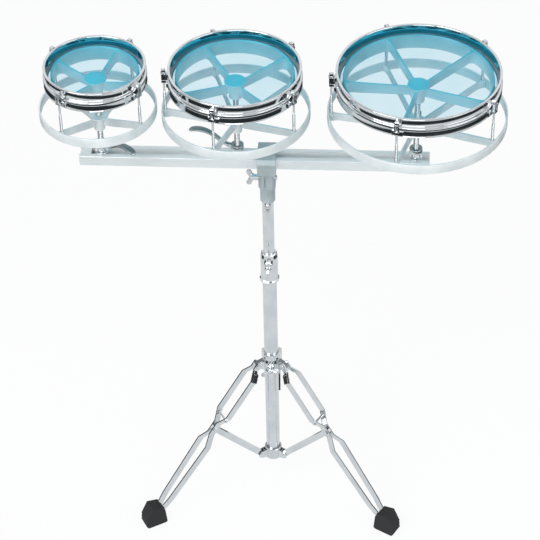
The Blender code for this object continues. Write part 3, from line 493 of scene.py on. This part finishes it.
@dataclass(frozen=True)
class Drum:
    """One drum's pieces, finer than the CAD's, in the same places."""

    name: str
    radius: float
    rods: int
    first_rod: float
    spokes: int
    first_spoke: float
    lever: float

    @property
    def top(self) -> Vector:
        """The hoop's centre at its top edge, read from the CAD's post."""
        low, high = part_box(f"{self.name}_post")
        return Vector(((low[0] + high[0]) / 2, (low[1] + high[1]) / 2, HOOP_TOP))

    def angles(self, count: int, first: float) -> list[float]:
        """Return evenly spread angles in degrees."""
        return [first + 360.0 * k / count for k in range(count)]

    def place(self, made: bpy.types.Object, part: str, body: str, slot: str,
              replaced: bool = True) -> None:
        """Fix a piece to its body and, when it replaces one, hide the CAD node it stands for.

        Args:
            made: The piece.
            part: The CAD node, without the drum's name.
            body: The body, without the drum's name.
            slot: The record's material slot; not used.
            replaced: Whether it stands for the CAD node.
        """
        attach(made, f"{self.name}_{body}")
        if replaced:
            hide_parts(f"{self.name}_{part}")

    def hoop(self) -> None:
        """Triple-flanged steel hoop, pressed from sheet, with a lug and a foot plate at each rod."""
        r = self.radius
        inner, wall, ledge = r + 3.9 * MM, r + 5.9 * MM, r + 9.4 * MM
        skirt = ledge - 0.6 * MM
        outline = rounded([
            (inner + 0.6 * MM, 0), (r + 8.4 * MM, 0), (r + 8.4 * MM, -2.2 * MM), (wall, -3.2 * MM),
            (wall, -15.6 * MM),
            (ledge, -17.2 * MM), (ledge, -22.4 * MM), (skirt, -23.2 * MM), (skirt, -33.0 * MM),
            (ledge, -35 * MM),
            (skirt - 2 * MM, -35 * MM), (skirt - 2 * MM, -19.4 * MM), (inner, -17.5 * MM),
            (inner, -1.4 * MM)], 1.1 * MM)
        shape = Shape()
        shape.revolve(outline, 144, self.top)
        for angle in self.angles(self.rods, self.first_rod):
            place = radial(self.top, angle)
            half = 5.0 * MM
            for low, high, near, far in ((-26 * MM, -21 * MM, skirt - MM, r + 19 * MM),
                                         (-21 * MM, -9 * MM, wall - 0.4 * MM, r + 11.0 * MM)):
                shape.loft([[place(near, v, -half), place(far, v, -half * 0.86),
                             place(far, v, half * 0.86), place(near, v, half)]
                            for v in (low, high)])
            ear = [(r + 10.6 * MM, half), (r + 19.0 * MM, half * 0.86), (r + 19.0 * MM, half * 0.5),
                   (r + 13.0 * MM, half * 0.5)]
            for sign in (1, -1):
                shape.loft([[place(u, v, w * sign) for u, w in ear] for v in (-21 * MM, -9 * MM)])
            shape.loft([[place(u, v, w) for u, w in ((skirt - MM, -10 * MM), (skirt + 2.6 * MM, -9 * MM),
                                                     (skirt + 2.6 * MM, 9 * MM),
                                                    (skirt - MM, 10 * MM))] for v in (-32.3 * MM,
                                                                                      -24 * MM)])
        self.place(shape.piece(f"{self.name}_hoop_shell", CHROME, 0.35 * MM, 50), "hoop", "tension",
                   "chrome")

    def head(self) -> None:
        """Blue film with its crimped aluminium flesh hoop."""
        edge = self.radius - 3 * MM
        collar = self.radius + 2.3 * MM
        outer = [(0, -13 * MM), (edge * 0.5, -13 * MM), (edge - 0.6 * MM, -13 * MM),
                 (edge + 0.6 * MM, -13.2 * MM),
                 (edge + 1.6 * MM, -13.8 * MM), (edge + 2.6 * MM, -15.0 * MM),
                 (edge + 3.4 * MM, -17 * MM), (collar, -21 * MM),
                 (collar, -24.6 * MM)]
        inner = [(max(0.0, u - (0.3 * MM if v < -13.1 * MM else 0)), v - 0.35 * MM) for u, v in outer]
        film = Shape()
        film.revolve(outer + inner[::-1], 144, self.top)
        self.place(film.piece(f"{self.name}_film", FILM), "head", "shell", "film")
        band = Shape()
        low, high, near = -25.9 * MM, -19.5 * MM, self.radius + 2.0 * MM
        band.revolve(rounded([(near, high), (near + 4.6 * MM, high), (near + 4.6 * MM, low), (near, low)],
                             MM), 120, self.top)
        self.place(band.piece(f"{self.name}_flesh_hoop", FLESH), "head", "shell", "film", replaced=False)

    def frame(self) -> None:
        """Cast frame under the film: bearing ring, spokes that widen into it, flat hub and barrel."""
        edge = self.radius - 3 * MM
        inner = edge - 3.4 * MM
        high, low = -13.7 * MM, -39.7 * MM
        shape = Shape()
        shape.revolve(rounded([(inner + 1.2 * MM, high), (edge - 0.3 * MM, high - 0.2 * MM), (edge, low),
                               (inner, low),
                               (inner, high - MM)], 1.0 * MM), 120, self.top)
        hub = rounded([(0, -27 * MM), (18 * MM, -27 * MM), (18 * MM, -31 * MM), (14.6 * MM, -31.4 * MM),
                       (14.6 * MM, -47 * MM),
                       (11 * MM, -48.6 * MM), (11 * MM, -60 * MM), (5.1 * MM, -60 * MM),
                       (5.1 * MM, -32.2 * MM), (0, -32.2 * MM)], 0.9 * MM)
        shape.revolve(hub, 56, self.top)
        for angle in self.angles(self.spokes, self.first_spoke):
            place = radial(self.top, angle)
            stations = [(12 * MM, 1.9 * MM, -30 * MM, -47 * MM), (18 * MM, 1.6 * MM, -30 * MM, -47 * MM)]
            span = inner - 9 * MM - 18 * MM
            for share in (0.33, 0.66, 1.0):
                stations.append((18 * MM + span * share, 1.6 * MM, (-30 + 12.9 * share) * MM,
                                 (-47 + 9.7 * share) * MM))
            stations += [(inner - 5 * MM, 2.2 * MM, -16.6 * MM, -37.8 * MM),
                         (inner - 2.4 * MM, 3.6 * MM, -16 * MM, -38.4 * MM),
                         (inner - 0.8 * MM, 5.6 * MM, -15.7 * MM, -39 * MM),
                         (inner + MM, 7.4 * MM, -15.7 * MM, -39 * MM)]
            shape.loft([[place(u, top, w), place(u, top, -w), place(u, base, -w),
                         place(u, base, w)] for u, w, top, base in stations])
        self.place(shape.piece(f"{self.name}_casting", CAST, 0.5 * MM, 40), "upper_frame", "shell",
                   "cast")

    def wheel(self) -> None:
        """Cast wheel that carries the rods: band, bosses, leaf spokes, flanged hub and set screw."""
        r = self.radius
        outer = r + 21.9 * MM
        shape = Shape()
        shape.revolve(rounded([(outer, -80.5 * MM), (outer, -98 * MM), (outer - 3 * MM, -98 * MM),
                               (outer - 3 * MM, -80.5 * MM)], 0.7 * MM),
                      144, self.top)
        hub = rounded([(5.1 * MM, -102 * MM), (16.4 * MM, -102 * MM), (16.4 * MM, -105 * MM),
                       (9.6 * MM, -106 * MM), (9.3 * MM, -130 * MM),
                       (5.1 * MM, -130 * MM)], 0.7 * MM)
        shape.revolve(hub, 56, self.top)
        for angle in self.angles(self.rods, self.first_rod):
            place = radial(self.top, angle)
            spot = place(r + 15.2 * MM, 0, 0)
            shape.revolve(rounded([(2.6 * MM, -81.2 * MM), (4.9 * MM, -81.2 * MM), (4.9 * MM, -95.7 * MM),
                                   (2.6 * MM, -95.7 * MM)], 0.5 * MM),
                          24, spot)
            end = r + 11.3 * MM
            stations = [(10.5 * MM, 1.7 * MM, -103 * MM, -118 * MM),
                        (17 * MM, 1.6 * MM, -103 * MM, -118 * MM)]
            for share in (0.35, 0.7, 1.0):
                stations.append((17 * MM + (end - 6 * MM - 17 * MM) * share, 1.6 * MM,
                                 (-103 + 20.1 * share) * MM, (-118 + 21.6 * share) * MM))
            stations.append((end, 2.4 * MM, -81.4 * MM, -97.1 * MM))
            shape.loft([[place(u, top, w), place(u, top, -w), place(u, base, -w),
                         place(u, base, w)] for u, w, top, base in stations])
        shape.revolve([(0, 8.4 * MM), (2.2 * MM, 8.4 * MM), (2.2 * MM, 11.6 * MM), (0, 11.8 * MM)], 16,
                      self.top + Vector((0, 0, -122 * MM)),
                      Vector((1, 0, 0)))
        self.place(shape.piece(f"{self.name}_wheel", WHEEL, 0.4 * MM, 40), "lower_frame", "tension",
                   "cast")

    def tension_rods(self) -> None:
        """Square-headed rods: washer, thin shank and a threaded lower half."""
        for number, angle in enumerate(self.angles(self.rods, self.first_rod), 1):
            place = radial(self.top, angle)
            spot = place(self.radius + 15.2 * MM, 0, 0)
            outline = [(0, -96.8 * MM), (2 * MM, -96.8 * MM)]
            outline += thread(2.5 * MM, -95.8 * MM, -48.8 * MM, 1.3 * MM, 0.35 * MM)
            outline += [(1.8 * MM, -48 * MM), (1.8 * MM, -8.7 * MM), (5.2 * MM, -8.7 * MM),
                        (5.2 * MM, -7.5 * MM), (4.9 * MM, -7.3 * MM),
                        (2.4 * MM, -7.3 * MM), (2.4 * MM, -6.6 * MM), (0, -6.6 * MM)]
            shape = Shape()
            shape.revolve(outline, 18, spot)
            turn = radial(spot, angle)
            for low, high, near, far in ((-7.0, -2.6, 3.3, 3.3), (-2.6, -1.8, 3.3, 2.6)):
                shape.loft([[turn(u * s * MM, v * MM, w * s * MM) for u,
                             w in ((-1, -1), (1, -1), (1, 1), (-1, 1))]
                            for v, s in ((low, near), (high, far))])
            self.place(shape.piece(f"{self.name}_tension_rod_{number}", HARDWARE), f"rod_{number}",
                       "tension", "chrome")

    def post(self) -> None:
        """Threaded post, its rail foot, the washer and the collar that stand on the rail."""
        base = Vector((self.top.x, self.top.y, 0))
        shape = Shape()
        shape.revolve([(0, 776 * MM), (4.3 * MM, 776 * MM)] + thread(4.75 * MM, 777 * MM, 932.4 * MM,
                                                                     1.6 * MM, 0.45 * MM)
                      + [(0, 933.5 * MM)], 32, base)
        low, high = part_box(f"{self.name}_post")
        x0, x1, y0, y1 = low[0], high[0], low[1], high[1]
        shape.loft([[Vector((x0, y0, z)), Vector((x1, y0, z)), Vector((x1, y1, z)),
                     Vector((x0, y1, z))] for z in (low[2], 0.7817)])
        self.place(shape.piece(f"{self.name}_threaded_post", HARDWARE), "post", "stand", "chrome")
        collar = Shape()
        profile = rounded([(5.1 * MM, 788.3 * MM), (11.5 * MM, 788.3 * MM), (11.5 * MM, 790.5 * MM),
                           (7.4 * MM, 790.9 * MM),
                           (7.2 * MM, 799.4 * MM), (5.1 * MM, 799.4 * MM)], 0.6 * MM)
        collar.revolve(profile, 48, base)
        self.place(collar.piece(f"{self.name}_rail_collar", CHROME), "base", "stand", "chrome")

    def lock_lever(self) -> None:
        """Cranked lever, swept with a rounded section, and its hub."""
        origin = Vector((self.top.x, self.top.y, 799.8 * MM))
        place = radial(origin, self.lever)
        path = [(7, 4, 4.6, 3.6), (12, 4, 4.4, 3.5), (17, 4.8, 4.2, 3.4), (22, 6.9, 4.2, 3.3),
                (27, 10, 4.4, 3.3), (33, 14.6, 4.6, 3.2),
                (38, 18.2, 4.8, 3.2), (43, 21.4, 5, 3.2), (48, 24, 5.2, 3.2), (54, 26.1, 5.5, 3.15),
                (60, 27.2, 5.8, 3.1),
                (66, 27.3, 6.1, 3.05), (72, 26.7, 6.2, 3.0), (77, 25.6, 6.0, 2.9), (80.5, 24.5, 5.2, 2.7),
                (83, 23.6, 3.9, 2.2), (84.2, 23.1, 2, 1.2)]
        shape = Shape()
        sections = []
        for along, rise, half, thick in path:
            ring = []
            for k in range(16):
                angle = 2 * math.pi * k / 16
                c, s = math.cos(angle), math.sin(angle)
                ring.append(place(along * MM, (rise + math.copysign(abs(s) ** 0.55, s) * thick) * MM,
                                  math.copysign(abs(c) ** 0.7, c) * half * MM))
            sections.append(ring)
        shape.loft(sections)
        hub = rounded([(5.1 * MM, 0), (11 * MM, 0), (11 * MM, 9 * MM), (5.1 * MM, 9 * MM)], MM)
        shape.revolve(hub, 48, origin)
        self.place(shape.piece(f"{self.name}_lock_lever", LEVER), "lever", "lock", "dark_metal")

    def build(self) -> None:
        """Build every piece of the drum."""
        for step in (self.hoop, self.head, self.frame, self.wheel, self.tension_rods, self.post,
                     self.lock_lever):
            step()
        LOG.info("%s drum built", self.name)


@dataclass(frozen=True)
class Stand:
    """Tubes, collars, legs and feet: chrome over the CAD's shapes, with finer round pieces."""

    def axis(self) -> Vector:
        """Return the tube's axis at the floor."""
        low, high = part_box("lower_tube")
        return Vector(((low[0] + high[0]) / 2, (low[1] + high[1]) / 2, 0))

    def tube(self, name: str, body: str, outline: Sequence[tuple[float, float]], finish: Finish) -> None:
        """Replace a round CAD piece by a finer one.

        Args:
            name: The CAD node.
            body: Its body.
            outline: Its outline in millimetres.
            finish: Its finish.
        """
        shape = Shape()
        shape.revolve(rounded([(u * MM, v * MM) for u, v in outline], 0.5 * MM), 72, self.axis())
        if name == "upper_tube":
            spot = self.axis() + Vector((0, -9.4 * MM, 683 * MM))
            shape.revolve(rounded([(0, 0), (4.6 * MM, 0), (4.6 * MM, 2.4 * MM), (3.4 * MM, 4 * MM),
                                   (0, 4.4 * MM)], 0.6 * MM), 28, spot,
                          Vector((0, -1, 0)))
        made = shape.piece(f"{name}_fine", finish)
        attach(made, body)
        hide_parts(name)

    def finishes(self) -> None:
        """Give every carried-over CAD node of the stand and rail its finish."""
        wanted = {RUBBER: ("leg_left_foot", "leg_right_foot", "leg_rear_foot"),
                  BAR: ("rail_front", "rail_rear", "rail_end_block"),
                  BLOCK: ("rail_clamp", "rail_socket"),
                  HARDWARE: ("clamp_screw", "height_screw", "leg_collar_screw")}
        chosen = {node: finish for finish, nodes in wanted.items() for node in nodes}
        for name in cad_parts:
            finish = chosen.get(name, CHROME)
            made = bpy.data.objects.get(name)
            if made is None or made.hide_render:
                continue
            for slot in made.material_slots:
                slot.material = finish.build()

    def pads(self) -> None:
        """Black pads on the near straps of the two front legs."""
        for name, degrees, side in (("left", 210.0, 1), ("right", 330.0, -1)):
            place = radial(self.axis(), degrees)
            along, across = Vector((220.0, -290.0)).normalized(), Vector((290.0, 220.0)).normalized()
            sections = []
            for share in (0.22, 0.3, 0.9, 0.98):
                distance = 8 + 20 * share
                offset = 5.55 + 11.95 * share + 1.25
                thick = 3.95 if share in (0.3, 0.9) else 3.2
                centre = Vector((30.0, 310.0)) + along * distance
                ring = []
                for lift, w in ((-5.7, offset - 0.3), (5.7, offset - 0.3), (5.7, offset + thick),
                                (-5.7, offset + thick)):
                    point = centre + across * lift
                    ring.append(place(point.x * MM, point.y * MM, side * w * MM))
                sections.append(ring)
            shape = Shape()
            shape.loft(sections)
            made = shape.piece(f"pad_{name}", RUBBER, 0.8 * MM, 30)
            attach(made, f"leg_{name}")

    def build(self) -> None:
        """Build the finer round pieces and dress the rest."""
        self.tube("upper_tube", "mast", [(10, 400), (10, 755.7), (8.7, 755.7), (8.7, 400)], CHROME)
        self.tube("lower_tube", "base", [(12.7, 64), (12.7, 545), (11.3, 545), (11.3, 64)], CHROME)
        self.pads()
        self.finishes()
        LOG.info("stand dressed")


@dataclass(frozen=True)
class Studio:
    """Camera at the photo's angle, a white room seen only by the camera, and plain lamps."""

    focal: float = 2000.0
    size: int = 540

    def camera(self, shift: Vector) -> None:
        """Place the camera.

        Args:
            shift: The stand's axis, in the row frame.
        """
        pitch, yaw, roll = (math.radians(v) for v in (40.97, -3.99, -1.25))
        forward = Vector((math.sin(yaw) * math.cos(pitch), math.cos(yaw) * math.cos(pitch),
                          -math.sin(pitch)))
        right = forward.cross(Vector((0, 0, 1))).normalized()
        up = right.cross(forward)
        across = right * math.cos(roll) + up * math.sin(roll)
        above = across.cross(forward)
        matrix = Matrix((across, above, -forward)).transposed().to_4x4()
        matrix.translation = Vector((0.1873, -2.6695, 2.853)) + shift
        data = bpy.data.cameras.new("camera")
        data.sensor_width = 36.0
        data.lens = self.focal * 36.0 / self.size
        data.clip_end = 50.0
        made = bpy.data.objects.new("camera", data)
        made.matrix_world = matrix
        bpy.context.scene.collection.objects.link(made)
        bpy.context.scene.camera = made
        bpy.context.scene.render.resolution_x = self.size
        bpy.context.scene.render.resolution_y = self.size
        bpy.context.scene.view_settings.view_transform = "Standard"

    def world(self) -> None:
        """Light from a pale dome with darker bands, and plain white behind the object."""
        world = bpy.data.worlds.new("room")
        bpy.context.scene.world = world
        tree = Tree(world)
        place = tree.add("ShaderNodeTexCoord").outputs["Generated"]
        height = tree.add("ShaderNodeSeparateXYZ", {"Vector": place}).outputs["Z"]
        level = tree.add("ShaderNodeMapRange", {"Value": height, "From Min": -1.0,
                                                "From Max": 1.0}).outputs["Result"]
        dome = tree.ramp(level, [(0.0, linear("#C9CCCE")), (0.42, linear("#DADDDE")),
                                 (0.47, linear("#2E3234")), (0.56, linear("#3A3F42")),
                                 (0.60, linear("#F4F6F7")), (0.82, linear("#FFFFFF")),
                                 (0.88, linear("#6E7477")), (1.0, linear("#F2F4F5"))])
        path = tree.add("ShaderNodeLightPath")
        seen = tree.add("ShaderNodeMath", {0: path.outputs[Ray.CAMERA.value],
                                           1: path.outputs[Ray.TRANSMISSION.value]},
                        operation=Blend.MAXIMUM.value)
        room = tree.add("ShaderNodeBackground", {"Color": dome, "Strength": 0.95})
        white = tree.add("ShaderNodeBackground", {"Color": linear("#FFFFFF"), "Strength": 1.0})
        mix = tree.add("ShaderNodeMixShader", {0: seen.outputs[0], 1: room.outputs[0],
                                               2: white.outputs[0]})
        tree.add("ShaderNodeOutputWorld", {"Surface": mix.outputs[0]})

    def lamp(self, name: str, place: tuple[float, float, float], size: float, power: float) -> None:
        """Add a square area lamp that faces the drums.

        Args:
            name: The lamp's name.
            place: Where it hangs.
            size: Its side.
            power: Its power in watts.
        """
        data = bpy.data.lights.new(name, "AREA")
        data.size = size
        data.energy = power
        made = bpy.data.objects.new(name, data)
        made.location = place
        made.rotation_euler = (Vector((0, 0, 0.7)) - Vector(place)).to_track_quat("-Z", "Y").to_euler()
        bpy.context.scene.collection.objects.link(made)

    def floor(self) -> None:
        """White floor that the camera sees as plain white and that keeps a faint shadow."""
        shape = Shape()
        shape.mesh.faces.new([shape.mesh.verts.new(p) for p in ((-3, -3, -0.0005), (3, -3, -0.0005),
                                                                (3, 3, -0.0005), (-3, 3, -0.0005))])
        made = shape.piece("floor", Floor("white_floor"))
        made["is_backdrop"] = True

    def build(self, shift: Vector) -> None:
        """Set up camera, world, lamps and floor."""
        self.camera(shift)
        self.world()
        self.lamp("key", (-1.6, -1.8, 3.0), 1.6, 54.0)
        self.lamp("fill", (2.2, -1.4, 1.8), 1.8, 16.0)
        self.lamp("front", (0.0, -2.5, 0.9), 1.2, 15.0)
        self.floor()


@dataclass(frozen=True)
class Floor(Finish):
    """Matte white paper sweep, with the darker studio floor beyond its edge."""

    paper: str = "#E2E5E6"
    ground: str = "#2B3032"

    def shade(self, tree: Tree) -> bpy.types.NodeSocket:
        """White to the camera, its own paper and ground to metal, and a lit sheet to every other ray."""
        place = tree.add("ShaderNodeTexCoord").outputs["Object"]
        reach = tree.add("ShaderNodeVectorMath", {0: place}, operation="LENGTH").outputs["Value"]
        level = tree.add("ShaderNodeMapRange", {"Value": reach, "From Min": 0.0,
                                                "From Max": 3.0}).outputs["Result"]
        colour = tree.ramp(level, [(0.36, linear(self.paper)), (0.38, linear(self.ground)),
                                   (0.55, linear(self.ground)),
                                   (0.58, linear(self.paper))])
        path = tree.add("ShaderNodeLightPath")
        plain = tree.add("ShaderNodeMixRGB", {0: path.outputs[Ray.CAMERA.value], 1: colour,
                                              2: linear(self.paper)}).outputs[0]
        sheet = tree.add("ShaderNodeBsdfDiffuse", {"Color": plain})
        shown = tree.add("ShaderNodeMixRGB", {0: path.outputs[Ray.CAMERA.value], 1: colour,
                                              2: linear("#FFFFFF")}).outputs[0]
        white = tree.add("ShaderNodeEmission", {"Color": shown, "Strength": 1.0})
        sharp = tree.add("ShaderNodeMath", {0: path.outputs[Ray.CAMERA.value],
                                            1: path.outputs[Ray.GLOSSY.value]},
                         operation=Blend.MAXIMUM.value).outputs[0]
        seen = tree.add("ShaderNodeMath", {0: sharp, 1: 0.92}, operation=Blend.MULTIPLY.value)
        return tree.add("ShaderNodeMixShader", {0: seen.outputs[0], 1: sheet.outputs[0],
                                                2: white.outputs[0]}).outputs[0]


DRUMS = (
    Drum("small", 76.2 * MM, 4, 57.0, 4, 66.0, -40.0),
    Drum("middle", 101.6 * MM, 5, 40.0, 4, 34.0, 167.0),
    Drum("large", 127.0 * MM, 5, 40.0, 5, 42.0, 88.0),
)

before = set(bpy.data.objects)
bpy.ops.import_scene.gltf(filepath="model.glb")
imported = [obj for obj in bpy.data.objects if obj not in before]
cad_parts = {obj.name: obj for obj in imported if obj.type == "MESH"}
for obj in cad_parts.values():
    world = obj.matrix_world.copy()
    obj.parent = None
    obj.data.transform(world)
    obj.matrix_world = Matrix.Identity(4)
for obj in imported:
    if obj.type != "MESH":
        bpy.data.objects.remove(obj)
CAD_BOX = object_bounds()


def main() -> None:
    """Build the whole scene."""
    logging.basicConfig(level=logging.INFO)
    stand = Stand()
    for drum in DRUMS:
        drum.build()
    stand.build()
    Studio().build(stand.axis())
    bpy.context.view_layer.update()
    boxes = [[list(map(float, corner)) for corner in box] for box in (CAD_BOX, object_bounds())]
    LOG.info("boxes %s", boxes)


if __name__ == "__main__":
    main()
